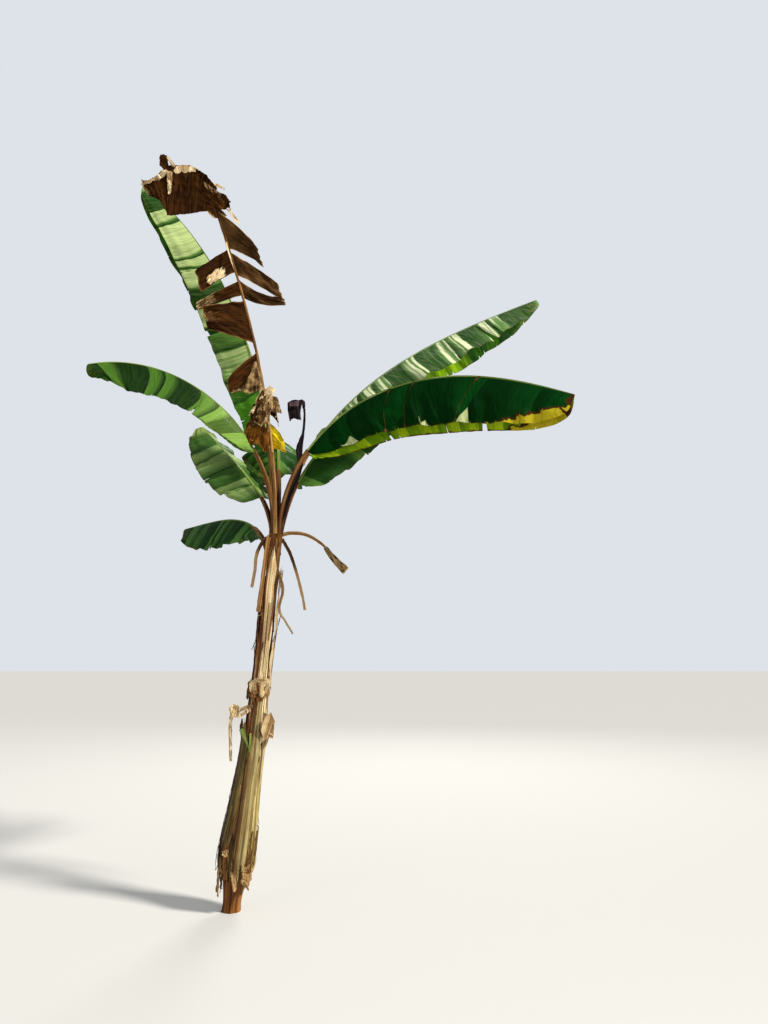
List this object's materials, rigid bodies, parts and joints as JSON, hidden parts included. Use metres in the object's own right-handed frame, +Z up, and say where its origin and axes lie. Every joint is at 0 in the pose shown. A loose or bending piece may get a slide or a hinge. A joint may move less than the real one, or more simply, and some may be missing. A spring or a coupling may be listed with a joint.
{
  "type": "banana plant",
  "caption": "Tall leaning banana plant: slim sheathed pseudostem, a fan of long arching green leaves, and an upright dead brown leaf torn into flaps.",
  "frame": {"origin": "middle of the flat cut at the foot of the pseudostem, at ground level", "axes": "+Z up; +X the way the pseudostem leans, to the right in the picture; +Y away from the picture's viewer"},
  "size_m": [3.1996, 2.5923, 5.3677],
  "materials": {
    "stem": "matte, fibrous",
    "dry_sheath": "matte, papery and streaked",
    "petiole": "satin, smooth",
    "dry_petiole": "matte, dry",
    "green_blade": "waxy satin",
    "dead_blade": "matte, dry",
    "withered_spear": "matte, dry"
  },
  "bodies": {
    "root": {"collar_rag": "dry_sheath", "drooping_blade": "dry_petiole", "drooping_rib": "dry_petiole", "leaf_back": "green_blade", "leaf_back_left": "green_blade", "leaf_back_right": "green_blade", "leaf_dead": "dead_blade", "leaf_dead_tip": "dead_blade", "leaf_left": "green_blade", "leaf_low_left": "green_blade", "leaf_right_high": "green_blade", "leaf_right_low": "green_blade", "leaf_tall": "green_blade", "old_petiole_front": "dry_petiole", "old_petiole_left": "dry_petiole", "old_petiole_right": "dry_petiole", "peeling_edge": "dry_sheath", "petiole_back": "petiole", "petiole_back_left": "petiole", "petiole_back_right": "petiole", "petiole_dead": "petiole", "petiole_left": "petiole", "petiole_low_left": "petiole", "petiole_right_high": "petiole", "petiole_right_low": "petiole", "petiole_tall": "petiole", "pseudostem": "stem", "ribbon": "dry_sheath", "sheath_high_back": "dry_sheath", "sheath_high_front": "dry_sheath", "sheath_high_left": "dry_sheath", "sheath_high_right": "dry_sheath", "sheath_low_back": "dry_sheath", "sheath_low_front": "dry_sheath", "sheath_low_left": "dry_sheath", "sheath_low_right": "dry_sheath", "spear": "withered_spear", "spear_curl": "withered_spear", "strip_right": "dry_sheath"}
  },
  "joints": []
}
